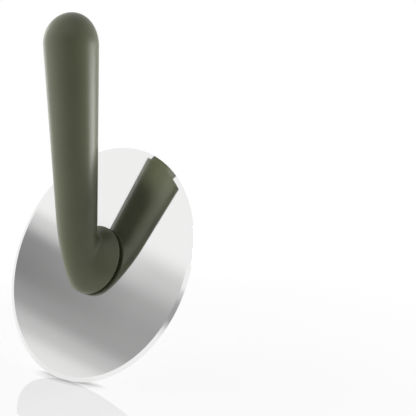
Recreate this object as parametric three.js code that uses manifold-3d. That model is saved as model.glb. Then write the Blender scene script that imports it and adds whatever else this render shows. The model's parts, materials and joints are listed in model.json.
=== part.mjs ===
// Pizza knife: a polished disc blade that turns on a stub axle at the foot of a bent, round-ended handle.
// Millimetres, +Z up along the handle's axis. The origin is the middle of the grip, on that axis.
// The axle's axis leans back from the handle's axis, and the two cross inside the handle's elbow.
import * as THREE from "three";
import { mergeVertices } from "three/addons/utils/BufferGeometryUtils.js";
import Module from "manifold-3d";

// Blade
const BLADE_RADIUS = 60;
const BLADE_THICKNESS = 1;
const BEVEL_WIDTH = 2.2;
const EDGE_LAND = 0.1;

// Handle, with heights measured along its axis from the crossing of the two axes
const HANDLE_LEAN = 22; // degrees between the handle's axis and the blade
const CROSSING_HEIGHT = 12; // crossing above the blade's front face
const GRIP_MIDDLE = 60;
const NECK_HEIGHT = 15.5;
const NECK_RADIUS = 9.85;
const DOME_HEIGHT = 100; // widest ring of the round end
const DOME_RADIUS = 13.1;
const DOME_LENGTH = 15; // from that ring to the pole
const DOME_LEAN = 1.3; // of the pole, towards the blade
const HUB_RADIUS = 17.5;
const FOOT_EASE = 0.8; // of the hub's edge at its face

// Elbow: how far the curves of its outer heel and inner instep are pulled at either end
const HEEL_LEAN_OUT = 0.5;
const HEEL_RISE = 8;
const HEEL_PULL = 17.2;
const INSTEP_RISE = 3.2;
const INSTEP_PULL = 12;
const INSTEP_SINK = 2.5; // how much deeper the instep's bend lies, for each millimetre of inset
const HUB_TUCK = 11;
const NECK_PINCH = 1.4;

// Layers of the handle
const SKIN_WALL = 2.2;
const CORE_WALL = 2.6;
const BORE_FLOOR = 26;
const PLUG_HEAD = 7; // plug's shoulder below the round end's widest ring
const PLUG_DEPTH = 9;

// Axle and what sits on it
const SCREW_RADIUS = 2;
const SLEEVE_WALL = 0.95;
const INSERT_WALL = 2.75;
const INSERT_LENGTH = 7.5;
const THREAD_RELIEF = 1.5; // thread stops this far short of the insert's end
const FRONT_WASHER_WIDTH = 5.6;
const FRONT_WASHER_THICKNESS = 0.6;
const BUSH_WALL = 1.8;
const FLANGE_REACH = 2.8;
const FLANGE_THICKNESS = 0.8;
const WAVE_SHEET = 0.2;
const WAVE_LIFT = 0.2;
const WAVE_COUNT = 3;
const BACK_WASHER_THICKNESS = 0.5;
const HEAD_REACH = 2.5;
const HEAD_THICKNESS = 1.8;
const SOCKET_ACROSS = 2.5;
const SOCKET_DEPTH = 1.1;
const CAP_CLEARANCE = 1;
const CAP_WALL = 1.2;
const CAP_EDGE = 1.1;
const CLIP_WALL = 1;
const CLIP_HEIGHT = 1.2;

// Clearances
const FIT_GAP = 0.25; // between pieces that sit in or on each other
const RUN_GAP = 0.2; // between the blade with its bush and what they turn against

// Facets
const GRIP_SIDES = 36;
const ELBOW_STEPS = 11;
const DOME_STEPS = 6;
const BLADE_SIDES = 96;
const TURNED_SIDES = 36;
const CAP_EDGE_STEPS = 4;
const SOCKET_SIDES = 6;

const wasm = await Module();
wasm.setup();

// Joining and cutting

// A closed geometry as a solid that can be cut.
function solidOf(geometry) {
  const bare = geometry.clone();
  bare.deleteAttribute("normal");
  bare.deleteAttribute("uv");
  const merged = mergeVertices(bare);
  return new wasm.Manifold(
    new wasm.Mesh({
      numProp: 3,
      vertProperties: merged.attributes.position.array,
      triVerts: new Uint32Array(merged.index.array),
    }),
  );
}

// The first geometry with the others cut out of it.
function cut(geometry, ...tools) {
  const body = tools.reduce((left, tool) => left.subtract(solidOf(tool)), solidOf(geometry));
  const mesh = body.getMesh();
  const result = new THREE.BufferGeometry();
  result.setAttribute("position", new THREE.BufferAttribute(mesh.vertProperties, 3));
  result.setIndex(new THREE.BufferAttribute(mesh.triVerts, 1));
  result.computeVertexNormals();
  return result;
}

// Turned shapes, about the local Z axis

// A [radius, height] outline turned into a body.
// It runs up the outside, from axis to axis or round to its start.
function turned(outline, sides = TURNED_SIDES) {
  const points = outline.map(([radius, height]) => new THREE.Vector2(radius, height));
  return new THREE.LatheGeometry(points, sides).rotateX(Math.PI / 2);
}

function ringOutline(inner, outer, low, high) {
  return [
    [inner, low],
    [outer, low],
    [outer, high],
    [inner, high],
    [inner, low],
  ];
}

function rodOutline(radius, low, high) {
  return [
    [0, low],
    [radius, low],
    [radius, high],
    [0, high],
  ];
}

// Points of an arc as [radius, height], from one angle to another, in equal steps.
function arcOutline(centreRadius, centreHeight, radius, from, to, steps) {
  return Array.from({ length: steps + 1 }, (_, step) => {
    const angle = from + ((to - from) * step) / steps;
    return [centreRadius + radius * Math.cos(angle), centreHeight + radius * Math.sin(angle)];
  });
}

// Frame of the axle: its origin is the centre of the blade's front face, its Z runs up into the handle's hub

const lean = THREE.MathUtils.degToRad(HANDLE_LEAN);
const axleDirection = new THREE.Vector3(0, -Math.cos(lean), Math.sin(lean));
const axleGroup = new THREE.Group();
axleGroup.position.copy(axleDirection).multiplyScalar(-CROSSING_HEIGHT);
axleGroup.rotation.x = Math.PI / 2 - lean;
axleGroup.updateMatrix();

// A point of the handle's plane of symmetry, from its place in the axle's frame.
function sidePoint(along, height) {
  const point = new THREE.Vector3(0, along, height).applyMatrix4(axleGroup.matrix);
  return new THREE.Vector2(point.y, point.z);
}

// Heights along the axle, front to back
const hubFace = RUN_GAP + FRONT_WASHER_THICKNESS + FIT_GAP;
const bladeBack = -BLADE_THICKNESS;
const flangeFront = bladeBack - FIT_GAP;
const flangeBack = flangeFront - FLANGE_THICKNESS;
const waveMiddle = flangeBack - RUN_GAP - WAVE_LIFT - WAVE_SHEET / 2;
const backWasherFront = waveMiddle - WAVE_SHEET / 2 - WAVE_LIFT - FIT_GAP;
const backWasherBack = backWasherFront - BACK_WASHER_THICKNESS;
const headFront = backWasherBack - FIT_GAP;
const headBack = headFront - HEAD_THICKNESS;
const capFloor = headBack - FIT_GAP;
const capFace = capFloor - CAP_WALL;

// Radii about the axle
const screwHole = SCREW_RADIUS + FIT_GAP;
const axleRadius = screwHole + SLEEVE_WALL;
const boreRadius = axleRadius + RUN_GAP;
const bushRadius = boreRadius + BUSH_WALL;
const flangeRadius = bushRadius + FLANGE_REACH;
const insertRadius = screwHole + INSERT_WALL;
const headRadius = SCREW_RADIUS + HEAD_REACH;
const capInside = flangeRadius + CAP_CLEARANCE;
const capRadius = capInside + CAP_WALL;

// Handle form

// The grip is a cone that leaves the neck and runs into the round end, half an ellipsoid, without a step.
// With heights squashed so that the ellipsoid is a ball, the cone touches it at the angle domeStart below
// its middle.
const domeSquash = DOME_RADIUS / DOME_LENGTH;
const squashedRise = (DOME_HEIGHT - NECK_HEIGHT) * domeSquash;
const domeStart =
  Math.asin(DOME_RADIUS / Math.hypot(NECK_RADIUS, squashedRise)) - Math.atan2(NECK_RADIUS, squashedRise);
const gripTaper = Math.atan(Math.tan(domeStart) * domeSquash);

function gripRadius(height) {
  return NECK_RADIUS + (height - NECK_HEIGHT) * Math.tan(gripTaper);
}

// One closed skin through a stack of rings, each an array of points, with a fan to a centre point at
// either end.
function loft(rings, lowCentre, highCentre) {
  const sides = rings[0].length;
  const points = [...rings.flat(), lowCentre, highCentre];
  const low = points.length - 2;
  const high = points.length - 1;
  const lastRing = (rings.length - 1) * sides;
  const faces = [];
  for (let side = 0; side < sides; side++) {
    const next = (side + 1) % sides;
    faces.push(low, next, side);
    faces.push(high, lastRing + side, lastRing + next);
    for (let start = 0; start < lastRing; start += sides) {
      faces.push(start + side, start + next, start + sides + next);
      faces.push(start + side, start + sides + next, start + sides + side);
    }
  }
  return new THREE.BufferGeometry().setFromPoints(points).setIndex(faces);
}

// An ellipse across the plane of symmetry, from its instep point to its heel point, with a half width in X.
function sectionRing(heel, instep, halfWidth) {
  const centre = heel.clone().add(instep).multiplyScalar(0.5);
  const reach = heel.clone().sub(centre);
  return Array.from({ length: GRIP_SIDES }, (_, side) => {
    const angle = (2 * Math.PI * side) / GRIP_SIDES;
    const along = Math.cos(angle);
    return new THREE.Vector3(
      halfWidth * Math.sin(angle),
      centre.x + reach.x * along,
      centre.y + reach.y * along,
    );
  });
}

// A circle about the handle's axis, or moved off it towards the blade.
function gripRing(radius, height, offset = 0) {
  const heel = new THREE.Vector2(offset - radius, height);
  const instep = new THREE.Vector2(offset + radius, height);
  return sectionRing(heel, instep, radius);
}

// The rings of the round end, or of one that lies inset below it, from the cone up to the pole.
function domeRings(inset) {
  return Array.from({ length: DOME_STEPS }, (_, step) => {
    const angle = -domeStart + ((Math.PI / 2 + domeStart) * step) / DOME_STEPS;
    const height = DOME_HEIGHT + (DOME_LENGTH - inset) * Math.sin(angle);
    return gripRing((DOME_RADIUS - inset) * Math.cos(angle), height, DOME_LEAN * Math.sin(angle) ** 2);
  });
}

function domePole(inset) {
  return new THREE.Vector3(0, DOME_LEAN, DOME_HEIGHT + DOME_LENGTH - inset);
}

// The handle's outer form, or one that lies inset below it: a round hub face, an elbow that narrows to
// the neck, the tapered grip and a round end. footEase draws the face's edge in, baseDrop carries the hub
// on past its face, and flatTop ends the grip flat instead.
function handleForm({ inset, footEase = 0, baseDrop = 0, flatTop = null }) {
  const hub = HUB_RADIUS - inset;
  const neck = NECK_RADIUS - inset;
  const rise = (point, lengthIn, lengthUp) =>
    sidePoint(point.along + lengthIn, point.height + lengthUp);
  const heelFoot = { along: -hub, height: hubFace + FOOT_EASE };
  const instepFoot = { along: hub, height: hubFace + FOOT_EASE };
  const heelNeck = new THREE.Vector2(-neck, NECK_HEIGHT);
  const instepNeck = new THREE.Vector2(neck, NECK_HEIGHT);
  const slope = new THREE.Vector2(Math.sin(gripTaper), -Math.cos(gripTaper));
  const heelPull = slope.clone().multiplyScalar(HEEL_PULL);
  const instepDepth = INSTEP_PULL + INSTEP_SINK * inset;
  const instepPull = new THREE.Vector2(-slope.x, slope.y).multiplyScalar(instepDepth);
  const heelCurve = new THREE.CubicBezierCurve(
    rise(heelFoot, 0, 0),
    rise(heelFoot, -HEEL_LEAN_OUT, HEEL_RISE),
    heelNeck.clone().add(heelPull),
    heelNeck,
  );
  const instepCurve = new THREE.CubicBezierCurve(
    rise(instepFoot, 0, 0),
    rise(instepFoot, 0, INSTEP_RISE),
    instepNeck.clone().add(instepPull),
    instepNeck,
  );
  const widthCurve = new THREE.CubicBezierCurve(
    new THREE.Vector2(0, hub),
    new THREE.Vector2(0, hub - HUB_TUCK),
    new THREE.Vector2(0, neck - NECK_PINCH),
    new THREE.Vector2(0, neck),
  );
  const base = hubFace - baseDrop;
  const baseRadius = hub - footEase;
  const rings = [sectionRing(sidePoint(-baseRadius, base), sidePoint(baseRadius, base), baseRadius)];
  for (let step = 0; step <= ELBOW_STEPS; step++) {
    const t = step / ELBOW_STEPS;
    rings.push(sectionRing(heelCurve.getPoint(t), instepCurve.getPoint(t), widthCurve.getPoint(t).y));
  }
  const foot = sidePoint(0, base);
  const footCentre = new THREE.Vector3(0, foot.x, foot.y);
  if (flatTop === null) {
    return loft([...rings, ...domeRings(inset)], footCentre, domePole(inset));
  }
  const topRing = gripRing(gripRadius(flatTop) - inset, flatTop);
  return loft([...rings, topRing], footCentre, new THREE.Vector3(0, 0, flatTop));
}

// Finishes
const oliveSkin = new THREE.MeshStandardMaterial({ color: 0x686c54, roughness: 0.5, metalness: 0 });
const darkNylon = new THREE.MeshStandardMaterial({ color: 0x2b2c28, roughness: 0.6, metalness: 0 });
const mirrorSteel = new THREE.MeshStandardMaterial({ color: 0xd9d9d7, roughness: 0.06, metalness: 1 });
const brushedSteel = new THREE.MeshStandardMaterial({ color: 0xb9b9b6, roughness: 0.3, metalness: 1 });
const springSteel = new THREE.MeshStandardMaterial({ color: 0x8d8d8a, roughness: 0.4, metalness: 1 });
const brass = new THREE.MeshStandardMaterial({ color: 0xb5954f, roughness: 0.35, metalness: 1 });
const palePolymer = new THREE.MeshStandardMaterial({ color: 0xe6e4dc, roughness: 0.5, metalness: 0 });
const blackPolymer = new THREE.MeshStandardMaterial({ color: 0x1b1b1a, roughness: 0.5, metalness: 0 });

const handleGroup = new THREE.Group();
handleGroup.position.z = -GRIP_MIDDLE;
handleGroup.add(axleGroup);

function place(group, name, geometry, material) {
  const mesh = new THREE.Mesh(geometry, material);
  mesh.name = name;
  group.add(mesh);
}

// Handle skin: the moulded outer layer, open at the hub's face where the core shows
const coreInset = SKIN_WALL + FIT_GAP;
place(
  handleGroup,
  "handle_skin",
  cut(handleForm({ inset: 0, footEase: FOOT_EASE }), handleForm({ inset: SKIN_WALL, baseDrop: hubFace })),
  oliveSkin,
);

// Handle core: the stiff inner moulding, hollow along the grip, with a socket for the axle's insert
const coreTop = DOME_HEIGHT - PLUG_HEAD;
const boreInset = coreInset + CORE_WALL;
const gripBore = turned([
  [0, BORE_FLOOR],
  [gripRadius(BORE_FLOOR) - boreInset, BORE_FLOOR],
  [gripRadius(coreTop + CORE_WALL) - boreInset, coreTop + CORE_WALL],
  [0, coreTop + CORE_WALL],
]);
const insertFront = hubFace + FIT_GAP;
const insertEnd = insertFront + INSERT_LENGTH;
const insertSocket = turned(rodOutline(insertRadius + FIT_GAP, 0, insertEnd + FIT_GAP));
insertSocket.applyMatrix4(axleGroup.matrix);
place(
  handleGroup,
  "handle_core",
  cut(handleForm({ inset: coreInset, flatTop: coreTop }), gripBore, insertSocket),
  darkNylon,
);

// Core plug: closes the hollow core under the skin's round end
const plugFoot = coreTop - PLUG_DEPTH;
const plugShoulder = coreTop + FIT_GAP;
const spigotInset = boreInset + FIT_GAP;
place(
  handleGroup,
  "core_plug",
  loft(
    [
      gripRing(gripRadius(plugFoot) - spigotInset, plugFoot),
      gripRing(gripRadius(plugShoulder) - spigotInset, plugShoulder),
      gripRing(gripRadius(plugShoulder) - coreInset, plugShoulder),
      ...domeRings(coreInset),
    ],
    new THREE.Vector3(0, 0, plugFoot),
    domePole(coreInset),
  ),
  darkNylon,
);

// Axle insert: the threaded brass sleeve moulded into the core
place(axleGroup, "axle_insert", turned(ringOutline(screwHole, insertRadius, insertFront, insertEnd)), brass);

// Axle sleeve: the plain tube that the bush runs on, clamped between the insert and the back washer
place(
  axleGroup,
  "axle_sleeve",
  turned(ringOutline(screwHole, axleRadius, backWasherFront + FIT_GAP, hubFace)),
  brushedSteel,
);

// Front washer: the low-friction spacer that holds the hub off the blade
place(
  axleGroup,
  "front_washer",
  turned(ringOutline(boreRadius, boreRadius + FRONT_WASHER_WIDTH, RUN_GAP, RUN_GAP + FRONT_WASHER_THICKNESS)),
  blackPolymer,
);

// Blade: a flat disc with the same bevel on both faces, down to a narrow land at the cutting edge
const edgeMiddle = bladeBack / 2;
const bladeHole = bushRadius + FIT_GAP;
place(
  axleGroup,
  "blade",
  turned(
    [
      [bladeHole, bladeBack],
      [BLADE_RADIUS - BEVEL_WIDTH, bladeBack],
      [BLADE_RADIUS, edgeMiddle - EDGE_LAND / 2],
      [BLADE_RADIUS, edgeMiddle + EDGE_LAND / 2],
      [BLADE_RADIUS - BEVEL_WIDTH, 0],
      [bladeHole, 0],
      [bladeHole, bladeBack],
    ],
    BLADE_SIDES,
  ),
  mirrorSteel,
);

// Blade bush: the flanged bearing pressed into the blade from behind, which turns on the sleeve
place(
  axleGroup,
  "blade_bush",
  turned([
    [boreRadius, flangeBack],
    [flangeRadius, flangeBack],
    [flangeRadius, flangeFront],
    [bushRadius, flangeFront],
    [bushRadius, 0],
    [boreRadius, 0],
    [boreRadius, flangeBack],
  ]),
  palePolymer,
);

// Wave washer: a thin spring ring, waved round its rim, that takes up the play along the axle
const waveWasher = turned(
  ringOutline(boreRadius, flangeRadius, waveMiddle - WAVE_SHEET / 2, waveMiddle + WAVE_SHEET / 2),
);
const wavePoints = waveWasher.attributes.position;
for (let index = 0; index < wavePoints.count; index++) {
  const turn = Math.atan2(wavePoints.getY(index), wavePoints.getX(index));
  wavePoints.setZ(index, wavePoints.getZ(index) + WAVE_LIFT * Math.cos(WAVE_COUNT * turn));
}
place(axleGroup, "wave_washer", waveWasher, springSteel);

// Back washer: the flat ring that the screw's head clamps against the sleeve's end
place(
  axleGroup,
  "back_washer",
  turned(ringOutline(screwHole, flangeRadius, backWasherBack, backWasherFront)),
  brushedSteel,
);

// Axle screw: head with a hexagon socket, and a shank through the sleeve that threads into the insert
const socketCorner = SOCKET_ACROSS / 2 / Math.cos(Math.PI / SOCKET_SIDES);
const socketOutline = Array.from({ length: SOCKET_SIDES }, (_, corner) => {
  const angle = (2 * Math.PI * corner) / SOCKET_SIDES;
  return new THREE.Vector2(socketCorner * Math.cos(angle), socketCorner * Math.sin(angle));
});
const socket = new THREE.ExtrudeGeometry(new THREE.Shape(socketOutline), {
  depth: SOCKET_DEPTH + FIT_GAP,
  bevelEnabled: false,
});
socket.translate(0, 0, headBack - FIT_GAP);
const screw = turned([
  [0, headBack],
  [headRadius, headBack],
  [headRadius, headFront],
  [SCREW_RADIUS, headFront],
  [SCREW_RADIUS, insertEnd - THREAD_RELIEF],
  [0, insertEnd - THREAD_RELIEF],
]);
place(axleGroup, "axle_screw", cut(screw, socket), brushedSteel);

// Back cap: the round cover behind the blade, held by a ring that clips over the screw's head
const clipInside = headRadius + FIT_GAP;
const clipTop = capFloor + CLIP_HEIGHT;
place(
  axleGroup,
  "back_cap",
  turned([
    [0, capFace],
    ...arcOutline(capRadius - CAP_EDGE, capFace + CAP_EDGE, CAP_EDGE, -Math.PI / 2, 0, CAP_EDGE_STEPS),
    [capRadius, bladeBack - RUN_GAP],
    [capInside, bladeBack - RUN_GAP],
    [capInside, capFloor],
    [clipInside + CLIP_WALL, capFloor],
    [clipInside + CLIP_WALL, clipTop],
    [clipInside, clipTop],
    [clipInside, capFloor],
    [0, capFloor],
  ]),
  brushedSteel,
);

const knife = new THREE.Group();
knife.add(handleGroup);

export default knife;
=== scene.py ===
import json
import math

import bmesh
import bpy
import numpy as np
from mathutils import Matrix, Vector


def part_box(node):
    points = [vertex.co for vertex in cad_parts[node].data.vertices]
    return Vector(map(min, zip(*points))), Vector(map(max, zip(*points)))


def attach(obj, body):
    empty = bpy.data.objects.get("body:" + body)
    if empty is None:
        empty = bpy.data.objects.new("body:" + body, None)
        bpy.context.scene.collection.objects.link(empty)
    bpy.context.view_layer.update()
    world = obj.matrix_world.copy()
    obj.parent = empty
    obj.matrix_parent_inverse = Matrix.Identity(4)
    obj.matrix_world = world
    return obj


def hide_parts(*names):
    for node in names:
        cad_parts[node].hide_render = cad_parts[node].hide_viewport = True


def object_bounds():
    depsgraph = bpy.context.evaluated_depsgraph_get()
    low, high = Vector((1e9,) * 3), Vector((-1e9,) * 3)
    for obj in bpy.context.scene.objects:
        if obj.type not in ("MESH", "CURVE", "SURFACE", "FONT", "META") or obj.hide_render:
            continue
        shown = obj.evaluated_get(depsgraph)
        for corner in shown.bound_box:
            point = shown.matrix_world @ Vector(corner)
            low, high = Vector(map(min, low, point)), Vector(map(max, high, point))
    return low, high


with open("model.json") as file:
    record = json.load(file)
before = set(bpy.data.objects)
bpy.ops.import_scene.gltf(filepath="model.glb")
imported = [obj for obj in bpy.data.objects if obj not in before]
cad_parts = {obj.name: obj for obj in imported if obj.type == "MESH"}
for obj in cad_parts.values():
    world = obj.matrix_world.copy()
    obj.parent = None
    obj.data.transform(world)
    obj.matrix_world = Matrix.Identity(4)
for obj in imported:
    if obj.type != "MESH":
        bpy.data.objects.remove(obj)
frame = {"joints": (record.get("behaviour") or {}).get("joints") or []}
cad_low, cad_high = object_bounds()

# Handle core
# The stiff inner moulding of the handle, in dark glass-filled nylon. It is hollow along the grip, and its
# round face at the hub, with the socket for the axle's insert, is the only part of it that can be seen.
MM = 0.001
HUB_RADIUS = 17.5 * MM
HUB_FACE = 1.05 * MM  # the hub's face above the blade's front face
FOOT_EASE = 0.8 * MM  # of the hub's edge at its face
NECK_HEIGHT = 15.5 * MM  # heights along the handle start where its axis crosses the axle's
NECK_RADIUS = 9.85 * MM
DOME_HEIGHT = 100 * MM  # widest ring of the round end
DOME_RADIUS = 13.1 * MM
DOME_LENGTH = 15 * MM  # from that ring to the pole
HEEL_LEAN_OUT = 0.5 * MM
HEEL_RISE = 8 * MM
HEEL_PULL = 17.2 * MM
INSTEP_RISE = 3.2 * MM
INSTEP_PULL = 12 * MM
INSTEP_SINK = 2.5  # how much deeper the instep's bend lies, for each unit of inset
HUB_TUCK = 11 * MM
NECK_PINCH = 1.4 * MM
SKIN_WALL = 2.2 * MM
CORE_WALL = 2.6 * MM
BORE_FLOOR = 26 * MM
PLUG_HEAD = 7 * MM
FIT_GAP = 0.25 * MM
INSERT_RADIUS = 5 * MM
INSERT_LENGTH = 7.5 * MM
ELBOW_STEPS = 48
GRIP_STEPS = 24
HANDLE_SIDES = 128
SHARP_ANGLE = math.radians(25)
MERGE_DISTANCE = 1e-7
NYLON_DARK = (0.02, 0.021, 0.018)
NYLON_SPECK = (0.034, 0.035, 0.03)
NYLON_ROUGHNESS = (0.5, 0.62)
NYLON_PATCH = 2 * MM  # size of its duller and glossier patches
SPECK_SIZE = 0.35 * MM
SPECK_SPAN = (0.45, 0.75)
SPECK_DEPTH = 0.02 * MM
SPECK_BUMP = 0.4
NOISE_SPAN = (0.3, 0.7)  # noise below it gives the first of two levels, noise above it the second

spin = frame["joints"][0]
BLADE_CENTRE = np.array(spin["pos_m"])
AXLE = np.array(spin["axis"])
ACROSS = np.array([1.0, 0.0, 0.0])
UP_BLADE = np.cross(AXLE, ACROSS)
CROSSING = BLADE_CENTRE - AXLE * BLADE_CENTRE[1] / AXLE[1]
# With heights squashed so that the round end is a ball, the cone touches it DOME_START below its middle.
DOME_SQUASH = DOME_RADIUS / DOME_LENGTH
squashed_rise = (DOME_HEIGHT - NECK_HEIGHT) * DOME_SQUASH
neck_angle = math.atan2(NECK_RADIUS, squashed_rise)
DOME_START = math.asin(DOME_RADIUS / math.hypot(NECK_RADIUS, squashed_rise)) - neck_angle
GRIP_TAPER = math.atan(math.tan(DOME_START) * DOME_SQUASH)


def bezier(points, t):
    """Cubic curve: four points weighted by (1-t)^3, 3t(1-t)^2, 3t^2(1-t) and t^3."""
    weights = np.stack([(1 - t) ** 3, 3 * t * (1 - t) ** 2, 3 * t**2 * (1 - t), t**3], axis=-1)
    return weights @ np.array(points)


def grip_radius(height):
    """Radius of the grip's cone: the neck's radius plus the taper's tangent times the height above it."""
    return NECK_RADIUS + (height - NECK_HEIGHT) * math.tan(GRIP_TAPER)


def ring_angles(sides):
    """Equal angles round a ring, from the heel side, in a column for each side."""
    return np.linspace(0, 2 * math.pi, sides, endpoint=False)[:, None]


def elbow_rings(inset, t):
    """Elbow from hub to neck. The heel and the instep follow two cubic curves in the plane of symmetry. Each
    ring is the ellipse that spans them, middle + cos(angle) reach + sin(angle) half width across. The half
    width falls from the hub's radius to the neck's along a third cubic."""
    hub = HUB_RADIUS - inset
    neck = NECK_RADIUS - inset
    foot = BLADE_CENTRE + (HUB_FACE + FOOT_EASE) * AXLE
    heel_foot = foot - hub * UP_BLADE
    instep_foot = foot + hub * UP_BLADE
    neck_middle = CROSSING + np.array([0, 0, NECK_HEIGHT])
    heel_neck = neck_middle - np.array([0, neck, 0])
    instep_neck = neck_middle + np.array([0, neck, 0])
    heel_way = np.array([0, math.sin(GRIP_TAPER), -math.cos(GRIP_TAPER)])
    instep_way = np.array([0, -math.sin(GRIP_TAPER), -math.cos(GRIP_TAPER)])
    heel_lift = heel_foot - HEEL_LEAN_OUT * UP_BLADE + HEEL_RISE * AXLE
    instep_lift = instep_foot + INSTEP_RISE * AXLE
    instep_depth = INSTEP_PULL + INSTEP_SINK * inset
    heel = bezier([heel_foot, heel_lift, heel_neck + HEEL_PULL * heel_way, heel_neck], t)
    instep = bezier([instep_foot, instep_lift, instep_neck + instep_depth * instep_way, instep_neck], t)
    half_width = bezier([hub, hub - HUB_TUCK, neck - NECK_PINCH, neck], t)
    middle = (heel + instep) / 2
    reach = heel - middle
    angle = ring_angles(HANDLE_SIDES)
    return (
        middle[:, None]
        + np.cos(angle) * reach[:, None]
        + np.sin(angle) * half_width[:, None, None] * ACROSS
    )


def grip_rings(radius, height, offset=0.0):
    """Rings round the handle's axis, one for each radius and height: crossing + height up + radius outwards,
    moved by the offset towards the blade."""
    angle = ring_angles(HANDLE_SIDES)
    outward = np.sin(angle) * ACROSS - np.cos(angle) * np.array([0, 1.0, 0])
    radius, height, offset = np.broadcast_arrays(np.asarray(radius, float), height, offset)
    centre = CROSSING + np.stack([0 * height, offset, height], axis=-1)
    return centre[:, None] + radius[:, None, None] * outward


def axle_rings(radius, height, sides):
    """Rings round the axle: blade centre + height along the axle + radius outwards. Radius and height have
    a row for each ring, and a column for each side where they change on the way round."""
    angle = ring_angles(sides)
    outward = np.sin(angle) * ACROSS - np.cos(angle) * UP_BLADE
    radius = np.asarray(radius, float)
    height = np.asarray(height, float)
    radius = radius[:, None] if radius.ndim == 1 else radius
    height = height[:, None] if height.ndim == 1 else height
    radius, height = np.broadcast_arrays(radius, height)
    return BLADE_CENTRE + height[..., None] * AXLE + radius[..., None] * outward


def skin_over(name, rings, sharp_angle=SHARP_ANGLE):
    """Mesh object over a stack of rings. Neighbouring points make four-sided faces, each ring closes on
    itself, and points that fall together, at a pole or where the stack meets its start, are merged."""
    count, sides = rings.shape[:2]
    index = np.arange(count * sides).reshape(count, sides)
    ahead = np.roll(index, -1, axis=1)
    faces = np.stack([index[:-1], ahead[:-1], ahead[1:], index[1:]], axis=-1).reshape(-1, 4)
    mesh = bpy.data.meshes.new(name)
    mesh.from_pydata(rings.reshape(-1, 3).tolist(), [], faces.tolist())
    shell = bmesh.new()
    shell.from_mesh(mesh)
    bmesh.ops.remove_doubles(shell, verts=shell.verts, dist=MERGE_DISTANCE)
    shell.to_mesh(mesh)
    shell.free()
    mesh.shade_smooth()
    mesh.set_sharp_from_angle(angle=sharp_angle)
    piece = bpy.data.objects.new(name, mesh)
    bpy.context.scene.collection.objects.link(piece)
    return piece


def new_material(name):
    """A node material with its shader: gives the material, its node tree and the shader node."""
    material = bpy.data.materials.new(name)
    material.use_nodes = True
    tree = material.node_tree
    return material, tree, tree.nodes["Principled BSDF"]


def set_inputs(tree, node, inputs):
    """Links each input that is given an output of another node, and sets the value of each other one."""
    for socket, value in inputs.items():
        if isinstance(value, bpy.types.NodeSocket):
            tree.links.new(value, node.inputs[socket])
        else:
            node.inputs[socket].default_value = value


def add_node(tree, kind, inputs=None, **settings):
    """A node of that kind, with its settings and its inputs."""
    made = tree.nodes.new(kind)
    for setting, value in settings.items():
        setattr(made, setting, value)
    set_inputs(tree, made, inputs or {})
    return made


def grain(tree, size, detail=2.0):
    """Noise of that grain size, in metres, on the piece's own coordinates."""
    place = add_node(tree, "ShaderNodeTexCoord")
    noise = add_node(
        tree,
        "ShaderNodeTexNoise",
        {"Vector": place.outputs["Object"], "Scale": 1 / size, "Detail": detail},
    )
    return noise.outputs["Fac"]


def between(tree, factor, low, high, span=NOISE_SPAN):
    """A number that goes from low to high as the factor goes from the start of the span to its end."""
    change = add_node(
        tree,
        "ShaderNodeMapRange",
        {"Value": factor, "From Min": span[0], "From Max": span[1], "To Min": low, "To Max": high},
    )
    return change.outputs["Result"]


def shade_between(tree, factor, first, second, span=NOISE_SPAN):
    """A colour that goes from the first to the second as the factor goes over the span, from start to end."""
    blend = add_node(
        tree,
        "ShaderNodeMix",
        {"Factor": between(tree, factor, 0, 1, span), "A": (*first, 1), "B": (*second, 1)},
        data_type="RGBA",
    )
    return blend.outputs["Result"]


def raised(tree, height, depth, strength):
    """A bump of that depth, in metres, from a height between 0 and 1."""
    bump = add_node(tree, "ShaderNodeBump", {"Height": height, "Distance": depth, "Strength": strength})
    return bump.outputs["Normal"]


def dark_nylon():
    """Moulded nylon filled with short glass: near-black, with paler specks and a dull uneven gloss."""
    material, tree, shader = new_material("dark_nylon")
    specks = grain(tree, SPECK_SIZE)
    finish = {
        "Base Color": shade_between(tree, specks, NYLON_DARK, NYLON_SPECK, SPECK_SPAN),
        "Roughness": between(tree, grain(tree, NYLON_PATCH), *NYLON_ROUGHNESS),
        "Normal": raised(tree, specks, SPECK_DEPTH, SPECK_BUMP),
    }
    set_inputs(tree, shader, finish)
    return material


def fit_piece(piece, material, node, body):
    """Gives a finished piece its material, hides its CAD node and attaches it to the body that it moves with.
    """
    piece.data.materials.append(material)
    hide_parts(node)
    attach(piece, body)


core_inset = SKIN_WALL + FIT_GAP
bore_inset = core_inset + CORE_WALL
core_top = DOME_HEIGHT - PLUG_HEAD
insert_front = HUB_FACE + FIT_GAP
insert_end = insert_front + INSERT_LENGTH
socket_radius = INSERT_RADIUS + FIT_GAP
socket_end = insert_end + FIT_GAP
elbow_steps = np.linspace(0, 1, ELBOW_STEPS + 1)
core_heights = np.linspace(NECK_HEIGHT, core_top, GRIP_STEPS + 1)[1:]
core_face = axle_rings(
    [0, socket_radius, socket_radius, HUB_RADIUS - core_inset],
    [socket_end, socket_end, HUB_FACE, HUB_FACE],
    HANDLE_SIDES,
)
core_bore = grip_rings(
    [grip_radius(core_top) - bore_inset, grip_radius(BORE_FLOOR) - bore_inset, 0],
    [core_top, BORE_FLOOR, BORE_FLOOR],
)
core = skin_over(
    "handle_core_fine",
    np.concatenate(
        [
            core_face,
            elbow_rings(core_inset, elbow_steps),
            grip_rings(grip_radius(core_heights) - core_inset, core_heights),
            core_bore,
        ]
    ),
)
nylon = dark_nylon()
fit_piece(core, nylon, "handle_core", "handle")

# Core plug
# A stopper of the same nylon that closes the open end of the hollow core, so that the skin can be moulded
# over it. Its spigot sits in the core's bore, and its round head carries the end of the skin.
PLUG_DEPTH = 9 * MM
DOME_LEAN = 1.3 * MM  # of the pole, towards the blade
DOME_STEPS = 28


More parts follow.
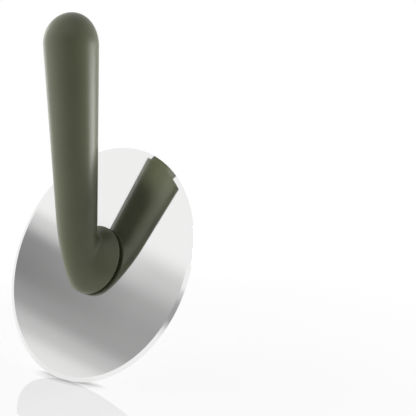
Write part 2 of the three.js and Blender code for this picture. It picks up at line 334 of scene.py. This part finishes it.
def dome_rings(inset):
    """The round end at that depth under the skin, half an ellipsoid from the grip's cone to the pole: radius
    times cos(angle), length times sin(angle) above the widest ring, and lean times sin(angle)^2 sideways."""
    angle = np.linspace(-DOME_START, math.pi / 2, DOME_STEPS + 1)
    radius = (DOME_RADIUS - inset) * np.cos(angle)
    height = DOME_HEIGHT + (DOME_LENGTH - inset) * np.sin(angle)
    return grip_rings(radius, height, DOME_LEAN * np.sin(angle) ** 2)


plug_foot = core_top - PLUG_DEPTH
plug_shoulder = core_top + FIT_GAP
spigot_inset = bore_inset + FIT_GAP
shoulder_radius = grip_radius(plug_shoulder)
plug_spigot = grip_rings(
    [0, grip_radius(plug_foot) - spigot_inset, shoulder_radius - spigot_inset, shoulder_radius - core_inset],
    [plug_foot, plug_foot, plug_shoulder, plug_shoulder],
)
plug = skin_over("core_plug_fine", np.concatenate([plug_spigot, dome_rings(core_inset)]))
fit_piece(plug, nylon, "core_plug", "handle")

# Axle insert
# A turned brass sleeve, knurled outside and threaded inside, that is moulded into the core's hub.
# The axle screw threads into it.
SCREW_RADIUS = 2 * MM
KNURL_COUNT = 30
KNURL_DEPTH = 0.18 * MM
TURNED_SIDES = 120
INSERT_RINGS = 40
BRASS_BROWN = (0.5, 0.34, 0.13)
BRASS_YELLOW = (0.66, 0.49, 0.22)
BRASS_ROUGHNESS = (0.24, 0.4)
BRASS_PITCH = 0.1 * MM

screw_hole = SCREW_RADIUS + FIT_GAP


def axle_coordinates(tree):
    """The piece's own coordinates, moved and turned so that Z runs along the axle from the blade's centre."""
    place = add_node(tree, "ShaderNodeTexCoord")
    turn = (math.atan2(-AXLE[1], AXLE[2]), 0, 0)
    mapping = add_node(
        tree,
        "ShaderNodeMapping",
        {"Vector": place.outputs["Object"], "Location": BLADE_CENTRE, "Rotation": turn},
        vector_type="TEXTURE",
    )
    return mapping.outputs["Vector"]


def turning_lines(tree, pitch, detail=3.0):
    """Fine rings round the axle: noise along the distance from its axis, with that pitch in metres."""
    parts = add_node(tree, "ShaderNodeSeparateXYZ", {"Vector": axle_coordinates(tree)})
    flat = add_node(tree, "ShaderNodeCombineXYZ", {"X": parts.outputs["X"], "Y": parts.outputs["Y"]})
    distance = add_node(tree, "ShaderNodeVectorMath", {0: flat.outputs["Vector"]}, operation="LENGTH")
    lines = add_node(
        tree,
        "ShaderNodeTexNoise",
        {"W": distance.outputs["Value"], "Scale": 1 / pitch, "Detail": detail},
        noise_dimensions="1D",
    )
    return lines.outputs["Fac"]


def insert_brass():
    """Bare turned brass: warm yellow, a little browner in the turning marks."""
    material, tree, shader = new_material("insert_brass")
    lines = turning_lines(tree, BRASS_PITCH)
    finish = {
        "Base Color": shade_between(tree, lines, BRASS_BROWN, BRASS_YELLOW),
        "Roughness": between(tree, lines, *BRASS_ROUGHNESS),
        "Metallic": 1,
    }
    set_inputs(tree, shader, finish)
    return material


turned_angles = ring_angles(TURNED_SIDES)[:, 0]
insert_heights = np.linspace(insert_front, insert_end, INSERT_RINGS)
knurl_lean = (insert_heights / INSERT_RADIUS)[:, None]
left_knurl = np.abs(np.sin(KNURL_COUNT / 2 * (turned_angles + knurl_lean)))
right_knurl = np.abs(np.sin(KNURL_COUNT / 2 * (turned_angles - knurl_lean)))
insert_outside = INSERT_RADIUS - KNURL_DEPTH * (1 - np.minimum(left_knurl, right_knurl))
insert_bore = np.full((1, TURNED_SIDES), screw_hole)
insert = skin_over(
    "axle_insert_fine",
    axle_rings(
        np.concatenate([insert_bore, insert_outside, insert_bore, insert_bore]),
        np.concatenate([[insert_front], insert_heights, [insert_end, insert_front]]),
        TURNED_SIDES,
    ),
)
fit_piece(insert, insert_brass(), "axle_insert", "handle")

# Handle skin
# The soft matte olive layer moulded over core and plug in one piece, from the hub's rim to the round end.
# It is open at the hub's face, where its edge is eased, and the face of the core lies flush in it.
FOOT_STEPS = 8
SKIN_UNDER = 0.02 * MM  # this far inside the true form, within the box of the faceted solid
OLIVE_DARK = (0.129, 0.14, 0.08)
OLIVE_PALE = (0.138, 0.149, 0.086)
OLIVE_MOTTLE = 14 * MM
SKIN_GRAIN = 0.22 * MM
SKIN_GRAIN_DETAIL = 1.0
SKIN_GRAIN_DEPTH = 0.01 * MM
SKIN_BUMP = 0.15
SKIN_ROUGHNESS = (0.33, 0.4)
SKIN_SPECULAR = 0.38


def handle_form(inset):
    """The outer form at that depth under the skin, from the hub's foot to the pole: the elbow, the grip's
    cone and the round end, which the cone meets without a step."""
    dome_foot = DOME_HEIGHT - (DOME_LENGTH - inset) * math.sin(DOME_START)
    heights = np.linspace(NECK_HEIGHT, dome_foot, GRIP_STEPS + 1)[1:-1]
    cone = grip_rings(grip_radius(heights) - inset, heights)
    return np.concatenate([elbow_rings(inset, elbow_steps), cone, dome_rings(inset)])


def olive_skin():
    """Matte moulded skin: greyed olive green with a fine even grain, a slight mottle and a satin gloss."""
    material, tree, shader = new_material("olive_skin")
    fine = grain(tree, SKIN_GRAIN, SKIN_GRAIN_DETAIL)
    finish = {
        "Base Color": shade_between(tree, grain(tree, OLIVE_MOTTLE), OLIVE_DARK, OLIVE_PALE),
        "Roughness": between(tree, fine, *SKIN_ROUGHNESS),
        "Normal": raised(tree, fine, SKIN_GRAIN_DEPTH, SKIN_BUMP),
        "Specular IOR Level": SKIN_SPECULAR,
    }
    set_inputs(tree, shader, finish)
    return material


foot_angles = np.linspace(0, math.pi / 2, FOOT_STEPS + 1)[:-1]
foot_radii = HUB_RADIUS - SKIN_UNDER - FOOT_EASE * (1 - np.sin(foot_angles))
foot_heights = HUB_FACE + FOOT_EASE * (1 - np.cos(foot_angles))
skin = skin_over(
    "handle_skin_fine",
    np.concatenate(
        [
            handle_form(SKIN_WALL)[::-1],
            axle_rings([HUB_RADIUS - SKIN_WALL], [HUB_FACE], HANDLE_SIDES),
            axle_rings(foot_radii, foot_heights, HANDLE_SIDES),
            handle_form(SKIN_UNDER),
        ]
    ),
)
fit_piece(skin, olive_skin(), "handle_skin", "handle")

# Axle sleeve
# A plain steel tube that the blade's bush runs on. The screw clamps it between the insert and the back
# washer, so that its length sets the play of the blade.
SLEEVE_WALL = 0.95 * MM
BLADE_THICKNESS = 1 * MM
FLANGE_THICKNESS = 0.8 * MM
WAVE_SHEET = 0.2 * MM
WAVE_LIFT = 0.2 * MM
RUN_GAP = 0.2 * MM
EDGE_EASE = 0.12 * MM
EASE_STEPS = 4
BRUSHED_DARK = (0.5, 0.5, 0.485)
BRUSHED_PALE = (0.6, 0.6, 0.585)
BRUSHED_ROUGHNESS = (0.2, 0.34)
BRUSHED_PITCH = 0.12 * MM
BRUSHED_DETAIL = 6.0
BRUSHED_DEPTH = 0.004 * MM
BRUSHED_BUMP = 0.3

axle_radius = screw_hole + SLEEVE_WALL
blade_back = -BLADE_THICKNESS
flange_front = blade_back - FIT_GAP
flange_back = flange_front - FLANGE_THICKNESS
wave_middle = flange_back - RUN_GAP - WAVE_LIFT - WAVE_SHEET / 2
back_washer_front = wave_middle - WAVE_SHEET / 2 - WAVE_LIFT - FIT_GAP


def eased(corners, ease):
    """A closed outline whose corners are eased: each gives way to the curve (1-t)^2 start + 2t(1-t) corner +
    t^2 end, where start and end lie the ease away from it along its two sides. The first point comes again at
    the end."""
    corner = np.array(corners)
    ease = np.broadcast_to(ease, len(corner))[:, None]
    to_last = np.roll(corner, 1, axis=0) - corner
    to_next = np.roll(corner, -1, axis=0) - corner
    start = corner + ease * to_last / np.linalg.norm(to_last, axis=1, keepdims=True)
    end = corner + ease * to_next / np.linalg.norm(to_next, axis=1, keepdims=True)
    t = np.linspace(0, 1, EASE_STEPS + 1)[:, None]
    curves = (1 - t) ** 2 * start[:, None] + 2 * t * (1 - t) * corner[:, None] + t**2 * end[:, None]
    outline = curves.reshape(-1, 2)
    return np.concatenate([outline, outline[:1]])


def turned(name, outline, sides=TURNED_SIDES):
    """A turned piece: an outline of radius and height, carried round the axle."""
    return skin_over(name, axle_rings(outline[:, 0], outline[:, 1], sides))


def ring_outline(inner, outer, low, high, ease=EDGE_EASE):
    """The outline of a flat ring or tube: an eased rectangle of radius and height."""
    return eased([[inner, low], [outer, low], [outer, high], [inner, high]], ease)


def brushed_steel():
    """Stainless steel brushed in rings about the axle: fine lines that change its gloss and tone a little."""
    material, tree, shader = new_material("brushed_steel")
    lines = turning_lines(tree, BRUSHED_PITCH, BRUSHED_DETAIL)
    finish = {
        "Base Color": shade_between(tree, lines, BRUSHED_DARK, BRUSHED_PALE),
        "Roughness": between(tree, lines, *BRUSHED_ROUGHNESS),
        "Normal": raised(tree, lines, BRUSHED_DEPTH, BRUSHED_BUMP),
        "Metallic": 1,
    }
    set_inputs(tree, shader, finish)
    return material


brushed = brushed_steel()
sleeve = turned(
    "axle_sleeve_fine",
    ring_outline(screw_hole, axle_radius, back_washer_front + FIT_GAP, HUB_FACE),
)
fit_piece(sleeve, brushed, "axle_sleeve", "handle")

# Front washer
# A thin black low-friction ring that holds the hub off the blade, so that a dark gap shows round the hub's
# rim. It is stamped from sheet and lies loose on the sleeve.
FRONT_WASHER_WIDTH = 5.6 * MM
FRONT_WASHER_THICKNESS = 0.6 * MM
BLACK_DARK = (0.009, 0.009, 0.008)
BLACK_WORN = (0.015, 0.015, 0.014)
BLACK_ROUGHNESS = (0.35, 0.55)
BLACK_PITCH = 0.4 * MM

bore_radius = axle_radius + RUN_GAP


def black_polymer():
    """Smooth black bearing sheet, with faint rings where it is worn bright."""
    material, tree, shader = new_material("black_polymer")
    lines = turning_lines(tree, BLACK_PITCH)
    finish = {
        "Base Color": shade_between(tree, lines, BLACK_DARK, BLACK_WORN),
        "Roughness": between(tree, lines, *BLACK_ROUGHNESS),
    }
    set_inputs(tree, shader, finish)
    return material


front_washer_edge = bore_radius + FRONT_WASHER_WIDTH
front_washer = turned(
    "front_washer_fine",
    ring_outline(bore_radius, front_washer_edge, RUN_GAP, RUN_GAP + FRONT_WASHER_THICKNESS),
)
fit_piece(front_washer, black_polymer(), "front_washer", "handle")

# Blade
# A disc of stainless sheet, polished to a mirror on both faces, so that the handle shows in it twice over.
# Its rim is ground to the same narrow bevel on both sides, down to a fine land.
BEVEL_WIDTH = 2.2 * MM
EDGE_LAND = 0.1 * MM
BUSH_WALL = 1.8 * MM
HOLE_EASE = 0.1 * MM
BLADE_SIDES = 288
BLADE_SHARP_ANGLE = math.radians(6)
MIRROR_DARK = (0.846, 0.846, 0.841)
MIRROR_PALE = (0.858, 0.858, 0.853)
MIRROR_ROUGHNESS = (0.025, 0.04)
MIRROR_PITCH = 0.5 * MM
MIRROR_DETAIL = 5.0
HAZE_SIZE = 9 * MM
HAZE_ROUGHNESS = 0.01  # added where the polish is haziest

blade_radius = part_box("blade")[1].x
bush_radius = bore_radius + BUSH_WALL
blade_hole = bush_radius + FIT_GAP


def combined(tree, operation, first, second):
    """What that operation, such as ADD, MULTIPLY or MAXIMUM, gives for two numbers."""
    return add_node(tree, "ShaderNodeMath", {0: first, 1: second}, operation=operation).outputs["Value"]


def mirror_steel():
    """Polished stainless steel: a near-perfect mirror with faint rings left by the polishing wheel."""
    material, tree, shader = new_material("mirror_steel")
    lines = turning_lines(tree, MIRROR_PITCH, MIRROR_DETAIL)
    haze = between(tree, grain(tree, HAZE_SIZE), 0, HAZE_ROUGHNESS)
    finish = {
        "Base Color": shade_between(tree, lines, MIRROR_DARK, MIRROR_PALE),
        "Roughness": combined(tree, "ADD", between(tree, lines, *MIRROR_ROUGHNESS), haze),
        "Metallic": 1,
    }
    set_inputs(tree, shader, finish)
    return material


bevel_start = blade_radius - BEVEL_WIDTH
blade_middle = blade_back / 2
blade_outline = np.array(
    [
        [blade_hole, blade_back + HOLE_EASE],
        [blade_hole + HOLE_EASE, blade_back],
        [bevel_start, blade_back],
        [blade_radius, blade_middle - EDGE_LAND / 2],
        [blade_radius, blade_middle + EDGE_LAND / 2],
        [bevel_start, 0],
        [blade_hole + HOLE_EASE, 0],
        [blade_hole, -HOLE_EASE],
        [blade_hole, blade_back + HOLE_EASE],
    ]
)
blade = skin_over(
    "blade_fine",
    axle_rings(blade_outline[:, 0], blade_outline[:, 1], BLADE_SIDES),
    BLADE_SHARP_ANGLE,
)
fit_piece(blade, mirror_steel(), "blade", "wheel")

# Blade bush
# A flanged plain bearing of off-white acetal, pressed into the blade's hole from behind. It turns on the
# sleeve with the blade.
FLANGE_REACH = 2.8 * MM
ACETAL_DARK = (0.74, 0.73, 0.68)
ACETAL_PALE = (0.8, 0.79, 0.75)
ACETAL_ROUGHNESS = (0.32, 0.42)
ACETAL_MOTTLE = 3 * MM

flange_radius = bush_radius + FLANGE_REACH


def pale_polymer():
    """Moulded acetal: off-white, faintly mottled, with a waxy gloss."""
    material, tree, shader = new_material("pale_polymer")
    mottle = grain(tree, ACETAL_MOTTLE)
    finish = {
        "Base Color": shade_between(tree, mottle, ACETAL_DARK, ACETAL_PALE),
        "Roughness": between(tree, mottle, *ACETAL_ROUGHNESS),
    }
    set_inputs(tree, shader, finish)
    return material


bush_corners = [
    [bore_radius, flange_back],
    [flange_radius, flange_back],
    [flange_radius, flange_front],
    [bush_radius, flange_front],
    [bush_radius, 0],
    [bore_radius, 0],
]
bush = turned("blade_bush_fine", eased(bush_corners, EDGE_EASE))
fit_piece(bush, pale_polymer(), "blade_bush", "wheel")

# Wave washer
# A thin ring of spring steel, waved three times round, between the bush's flange and the back washer.
# It takes up the play along the axle.
WAVE_COUNT = 3
SHEET_EASE = 0.05 * MM
SPRING_BROWN = (0.25, 0.245, 0.24)
SPRING_BLUE = (0.34, 0.34, 0.345)
SPRING_ROUGHNESS = (0.35, 0.5)
SPRING_MOTTLE = 1.2 * MM


def spring_steel():
    """Rolled spring steel: dull grey with a slight blue-brown mottle from hardening."""
    material, tree, shader = new_material("spring_steel")
    mottle = grain(tree, SPRING_MOTTLE)
    finish = {
        "Base Color": shade_between(tree, mottle, SPRING_BROWN, SPRING_BLUE),
        "Roughness": between(tree, mottle, *SPRING_ROUGHNESS),
        "Metallic": 1,
    }
    set_inputs(tree, shader, finish)
    return material


wave_low = wave_middle - WAVE_SHEET / 2
wave_high = wave_middle + WAVE_SHEET / 2
wave_outline = ring_outline(bore_radius, flange_radius, wave_low, wave_high, SHEET_EASE)
wave_lift = WAVE_LIFT * np.cos(WAVE_COUNT * (turned_angles - math.pi / 2))
wave_washer = skin_over(
    "wave_washer_fine",
    axle_rings(wave_outline[:, 0], wave_outline[:, 1, None] + wave_lift, TURNED_SIDES),
)
fit_piece(wave_washer, spring_steel(), "wave_washer", "handle")

# Back washer
# A flat ring of brushed steel, stamped from sheet. The screw's head clamps it against the end of the sleeve,
# and the spring ring bears on it.
BACK_WASHER_THICKNESS = 0.5 * MM

back_washer_back = back_washer_front - BACK_WASHER_THICKNESS
back_washer = turned(
    "back_washer_fine",
    ring_outline(screw_hole, flange_radius, back_washer_back, back_washer_front),
)
fit_piece(back_washer, brushed, "back_washer", "handle")

# Axle screw
# A steel screw with a low round head and a hexagon socket. Its shank goes through washer and sleeve, and its
# thread into the brass insert in the hub.
HEAD_RADIUS = 4.5 * MM
HEAD_THICKNESS = 1.8 * MM
HEAD_EASE = 0.3 * MM
SOCKET_ACROSS = 2.5 * MM
SOCKET_DEPTH = 1.1 * MM
SOCKET_SIDES = 6
THREAD_PITCH = 0.7 * MM
THREAD_DEPTH = 0.4 * MM
THREAD_RELIEF = 1.5 * MM
THREAD_RINGS = 120

head_front = back_washer_back - FIT_GAP
head_back = head_front - HEAD_THICKNESS
thread_start = insert_front
thread_end = insert_end - THREAD_RELIEF
side_angle = 2 * math.pi / SOCKET_SIDES
hexagon = SOCKET_ACROSS / 2 / np.cos(np.mod(turned_angles, side_angle) - side_angle / 2)
screw_tip = np.zeros(TURNED_SIDES)
thread_heights = np.linspace(thread_start, thread_end, THREAD_RINGS)
turns = thread_heights[:, None] / THREAD_PITCH - turned_angles / (2 * math.pi)
groove = 1 - np.abs(2 * np.mod(turns, 1) - 1)
run_in = np.minimum(thread_heights - thread_start, thread_end - thread_heights) / THREAD_PITCH
thread = SCREW_RADIUS - THREAD_DEPTH * groove * np.clip(run_in, 0, 1)[:, None]
head_radii = np.array([HEAD_RADIUS - HEAD_EASE, HEAD_RADIUS, HEAD_RADIUS, SCREW_RADIUS])
head_heights = np.array([head_back, head_back + HEAD_EASE, head_front, head_front])
socket_floor = head_back + SOCKET_DEPTH
head = np.outer(head_radii, np.ones(TURNED_SIDES))
screw = skin_over(
    "axle_screw_fine",
    axle_rings(
        np.concatenate([[screw_tip, hexagon, hexagon], head, thread, [screw_tip]]),
        np.concatenate([[socket_floor, socket_floor, head_back], head_heights, thread_heights, [thread_end]]),
        TURNED_SIDES,
    ),
)
fit_piece(screw, brushed, "axle_screw", "handle")

# Back cap
# A round cover of brushed steel behind the blade, spun with an eased edge. A ring inside it clips over the
# screw's head, and its rim stands just clear of the blade.
CAP_CLEARANCE = 1 * MM
CAP_WALL = 1.2 * MM
CAP_EDGE = 1.1 * MM
CLIP_WALL = 1 * MM
CLIP_HEIGHT = 1.2 * MM
CAP_SIDES = 160

cap_floor = head_back - FIT_GAP
cap_face = cap_floor - CAP_WALL
cap_rim = blade_back - RUN_GAP
cap_inside = flange_radius + CAP_CLEARANCE
cap_radius = cap_inside + CAP_WALL
clip_inside = HEAD_RADIUS + FIT_GAP
clip_outside = clip_inside + CLIP_WALL
clip_top = cap_floor + CLIP_HEIGHT
cap_corners = [
    [0, cap_face],
    [cap_radius, cap_face],
    [cap_radius, cap_rim],
    [cap_inside, cap_rim],
    [cap_inside, cap_floor],
    [clip_outside, cap_floor],
    [clip_outside, clip_top],
    [clip_inside, clip_top],
    [clip_inside, cap_floor],
    [0, cap_floor],
]
cap_eases = [0, CAP_EDGE, *[EDGE_EASE] * (len(cap_corners) - 3), 0]
# The outline ends on the axle, so the last corner's repeats and the way back to the start are left off.
cap_outline = eased(cap_corners, cap_eases)[: -EASE_STEPS - 1]
cap = turned("back_cap_fine", cap_outline, CAP_SIDES)
fit_piece(cap, brushed, "back_cap", "handle")

# Floor
# A wide white coated sheet that the blade's rim stands on. Near the knife it takes the knife's shadow and
# mirrors it faintly, and right under the rim its glow carries a painted contact shade. Further off it is
# plain white to the camera and to polished metal.
FLOOR_RADIUS = 4.0
FLOOR_SIDES = 64
FLOOR_WHITE = (0.9, 0.9, 0.9, 1)
FLOOR_ROUGHNESS = 0.6
FLOOR_GLOW = 0.85  # share of plain white at the knife's foot
SHADOW_SPAN = (0.03, 0.3)  # distances from the foot over which that share rises to 1
# Painted contact shade: how near the rim must be, and how strongly its ambient occlusion darkens the white
# glow.
PAINTED_SHADE_REACH = 5 * MM
PAINTED_SHADE_POWER = 2.0
PURE_WHITE = (1, 1, 1, 1)
COAT_ROUGHNESS = 0.015
COAT_IOR = 1.45
COAT_SPAN = (0.09, 0.16)  # distances from the foot over which the mirror image fades out


def white_sheet():
    """White sheet: plain white to the camera and to metal, except for a matte share that takes shadows and
    falls off with the distance from the knife's foot. Right under the rim its white glow is darkened by a
    painted contact shade from ambient occlusion, and it has a thin gloss near the knife that only the camera
    sees."""
    material, tree, shader = new_material("floor_white")
    matte = {"Base Color": FLOOR_WHITE, "Roughness": FLOOR_ROUGHNESS, "Specular IOR Level": 0}
    set_inputs(tree, shader, matte)
    place = add_node(tree, "ShaderNodeTexCoord")
    foot = (0, BLADE_CENTRE[1], cad_low.z)
    way_off = add_node(
        tree,
        "ShaderNodeVectorMath",
        {0: place.outputs["Object"], 1: foot},
        operation="DISTANCE",
    )
    distance = way_off.outputs["Value"]
    path = add_node(tree, "ShaderNodeLightPath")
    to_camera = path.outputs["Is Camera Ray"]
    seen = combined(tree, "MAXIMUM", to_camera, path.outputs["Is Glossy Ray"])
    seen = combined(tree, "MAXIMUM", seen, path.outputs["Is Transmission Ray"])
    white_share = combined(tree, "MULTIPLY", seen, between(tree, distance, FLOOR_GLOW, 1, SHADOW_SPAN))
    # Painted contact shade: ambient occlusion darkens the white glow itself under the rim, on top of the real
    # shadow in the matte share.
    painted_contact_shade = add_node(tree, "ShaderNodeAmbientOcclusion", {"Distance": PAINTED_SHADE_REACH})
    glow_under_painted_shade = combined(tree, "POWER", painted_contact_shade.outputs["AO"], PAINTED_SHADE_POWER)
    white = add_node(tree, "ShaderNodeEmission", {"Strength": glow_under_painted_shade})
    sheet = add_node(
        tree,
        "ShaderNodeMixShader",
        {"Fac": white_share, 1: shader.outputs["BSDF"], 2: white.outputs["Emission"]},
    )
    gloss = add_node(tree, "ShaderNodeBsdfGlossy", {"Color": PURE_WHITE, "Roughness": COAT_ROUGHNESS})
    fresnel = add_node(tree, "ShaderNodeFresnel", {"IOR": COAT_IOR})
    near_shine = combined(tree, "MULTIPLY", fresnel.outputs["Fac"], between(tree, distance, 1, 0, COAT_SPAN))
    shine = combined(tree, "MULTIPLY", near_shine, to_camera)
    coated = add_node(
        tree,
        "ShaderNodeMixShader",
        {"Fac": shine, 1: sheet.outputs["Shader"], 2: gloss.outputs["BSDF"]},
    )
    tree.links.new(coated.outputs["Shader"], tree.nodes["Material Output"].inputs["Surface"])
    return material


floor_turn = ring_angles(FLOOR_SIDES)
floor_rim = FLOOR_RADIUS * np.concatenate([np.cos(floor_turn), np.sin(floor_turn), 0 * floor_turn], axis=1)
floor_mesh = bpy.data.meshes.new("floor")
floor_mesh.from_pydata((floor_rim + [0, 0, cad_low.z]).tolist(), [], [list(range(FLOOR_SIDES))])
floor_mesh.materials.append(white_sheet())
floor = bpy.data.objects.new("floor", floor_mesh)
bpy.context.scene.collection.objects.link(floor)

# Studio
# White surroundings. Polished metal also sees a grey strip at the front left and a dim room at the front
# right, and what is mirrored again sees a bright right side and little else. The matte handle is lit by
# the pale left side of the room, and by soft lights at the left, low at the right back and above.
STRIP = dict(turn=-38, climb=18, span=(0.82, 0.92))
STRIP_LEFT_END = dict(turn=-70, climb=18, span=(0.911, 0.964))
LEFT_LEVELS = (
    (11.8, 1.0),
    (13.9, 0.88),
    (15.3, 0.6),
    (16.9, 0.35),
    (18.6, 0.25),
    (20.8, 0.29),
    (22.2, 0.7),
    (23.3, 1.0),
)
RIGHT_LEVELS = (
    (12.1, 1.0),
    (14.1, 0.86),
    (15.4, 0.59),
    (16.9, 0.385),
    (19, 0.38),
    (20.5, 0.42),
    (23, 0.66),
    (25.2, 1.0),
)
ROOM = dict(turn=55, climb=5, span=(0.35, 0.97))
ROOM_LEVELS = (0.1, 0.9)
ROOM_RISE = (math.radians(3), math.radians(28))
WIDE_FILL = dict(turn=-58, climb=14, span=(0.3, 0.9), high=1.3)
SIDE_FILL = dict(turn=-72, climb=8, span=(0.75, 0.97), high=3.4)
TWICE_MIRRORED = dict(turn=75, climb=28, span=(0.7, 0.95), low=0.25, high=2.3)
THRICE_MIRRORED = 0.2
TWICE_COUNT = 1.5  # of glossy bounces
THRICE_COUNT = 3.5  # of all steps, with the last one to the sky
ZENITH = 90

world = bpy.data.worlds.new("studio")
bpy.context.scene.world = world
world.use_nodes = True
sky = world.node_tree
way = add_node(sky, "ShaderNodeTexCoord").outputs["Generated"]
way_parts = add_node(sky, "ShaderNodeSeparateXYZ", {"Vector": way})
sky_climb = combined(sky, "ARCSINE", way_parts.outputs["Z"], 0)
climb_share = between(sky, sky_climb, 0, 1, (0, math.radians(ZENITH)))


def direction(turn, climb):
    """Unit vector at that turn from the knife's front, to the right, and that climb above the horizon."""
    turn = math.radians(turn)
    climb = math.radians(climb)
    return Vector((math.sin(turn) * math.cos(climb), -math.cos(turn) * math.cos(climb), math.sin(climb)))


def glow_towards(turn, climb, span, low=0, high=1):
    """A level that goes from low to high as the cosine of the angle to a direction goes over the span, from
    start to end. The direction has that turn and climb, in degrees."""
    nearness = add_node(
        sky,
        "ShaderNodeVectorMath",
        {0: way, 1: direction(turn, climb)},
        operation="DOT_PRODUCT",
    )
    return between(sky, nearness.outputs["Value"], low, high, span)


def strip_levels(stops):
    """Levels that change with the climb above the horizon, from stops of degrees and level. A new ramp
    has two stops, and the others are added."""
    strip = add_node(sky, "ShaderNodeValToRGB", {"Fac": climb_share})
    ramp = strip.color_ramp
    ramp.interpolation = "EASE"
    for count, (climb, level) in enumerate(stops):
        stop = ramp.elements[count] if count < 2 else ramp.elements.new(climb / ZENITH)
        stop.position = climb / ZENITH
        stop.color = (level, level, level, 1)
    return strip.outputs["Color"]


def mixed(share, first, second):
    """A level that goes from the first to the second as the share goes from 0 to 1."""
    return add_node(sky, "ShaderNodeMix", {"Factor": share, "A": first, "B": second}).outputs["Result"]


path = add_node(sky, "ShaderNodeLightPath").outputs
strip = mixed(glow_towards(**STRIP_LEFT_END), strip_levels(RIGHT_LEVELS), strip_levels(LEFT_LEVELS))
walls = mixed(glow_towards(**STRIP), 1.0, strip)
room = mixed(glow_towards(**ROOM), 1.0, between(sky, sky_climb, *ROOM_LEVELS, ROOM_RISE))
once_mirrored = combined(sky, "MULTIPLY", walls, room)
is_thrice = combined(sky, "GREATER_THAN", path["Ray Depth"], THRICE_COUNT)
is_twice = combined(sky, "GREATER_THAN", path["Glossy Depth"], TWICE_COUNT)
again_mirrored = mixed(is_thrice, glow_towards(**TWICE_MIRRORED), THRICE_MIRRORED)
mirrored = mixed(is_twice, once_mirrored, again_mirrored)
fill = combined(sky, "ADD", glow_towards(**WIDE_FILL), glow_towards(**SIDE_FILL))
lit = mixed(path["Is Glossy Ray"], fill, mirrored)
plain_white = combined(sky, "MAXIMUM", path["Is Camera Ray"], path["Is Transmission Ray"])
set_inputs(sky, sky.nodes["Background"], {"Color": PURE_WHITE, "Strength": mixed(plain_white, lit, 1.0)})


def soft_light(name, turn, climb, distance, width, height, power):
    """A rectangular soft light that faces the grip, at that turn, climb and distance from it."""
    lamp = bpy.data.lights.new(name, "AREA")
    lamp.shape = "RECTANGLE"
    lamp.size = width
    lamp.size_y = height
    lamp.energy = power
    holder = bpy.data.objects.new(name, lamp)
    holder.location = direction(turn, climb) * distance
    holder.rotation_euler = (-holder.location).to_track_quat("-Z", "Y").to_euler()
    holder.visible_camera = False
    bpy.context.scene.collection.objects.link(holder)


soft_light("left_soft_light", turn=-99, climb=14, distance=0.8, width=0.25, height=0.5, power=0.75)
soft_light("right_back_soft_light", turn=142, climb=-2, distance=0.55, width=0.34, height=0.19, power=1.95)
soft_light("top_soft_light", turn=32, climb=56, distance=1.0, width=0.6, height=0.5, power=0.5)

# Camera
# It stands a little above the blade's centre, to the right of the knife, at the distance of a short portrait
# lens, and sees the whole knife upright.
CAMERA_TURN = math.radians(38.132)
CAMERA_TILT = math.radians(6.658)
CAMERA_ROLL = math.radians(0.921)
CAMERA_PLACE = Vector((0.26702, -0.2538, -0.00576))
CAMERA_LENS = 65.458
CAMERA_SENSOR = 36
CAMERA_SHIFT = 0.05
NEAR_LIMIT = 0.01

camera_data = bpy.data.cameras.new("camera")
camera_data.lens = CAMERA_LENS
camera_data.sensor_width = CAMERA_SENSOR
camera_data.shift_x = CAMERA_SHIFT
camera_data.shift_y = CAMERA_SHIFT
camera_data.clip_start = NEAR_LIMIT
camera = bpy.data.objects.new("camera", camera_data)
camera.matrix_world = (
    Matrix.Translation(CAMERA_PLACE)
    @ Matrix.Rotation(CAMERA_TURN, 4, "Z")
    @ Matrix.Rotation(math.pi / 2 - CAMERA_TILT, 4, "X")
    @ Matrix.Rotation(-CAMERA_ROLL, 4, "Z")
)
bpy.context.scene.collection.objects.link(camera)
bpy.context.scene.camera = camera
bpy.context.scene.view_settings.view_transform = "Standard"
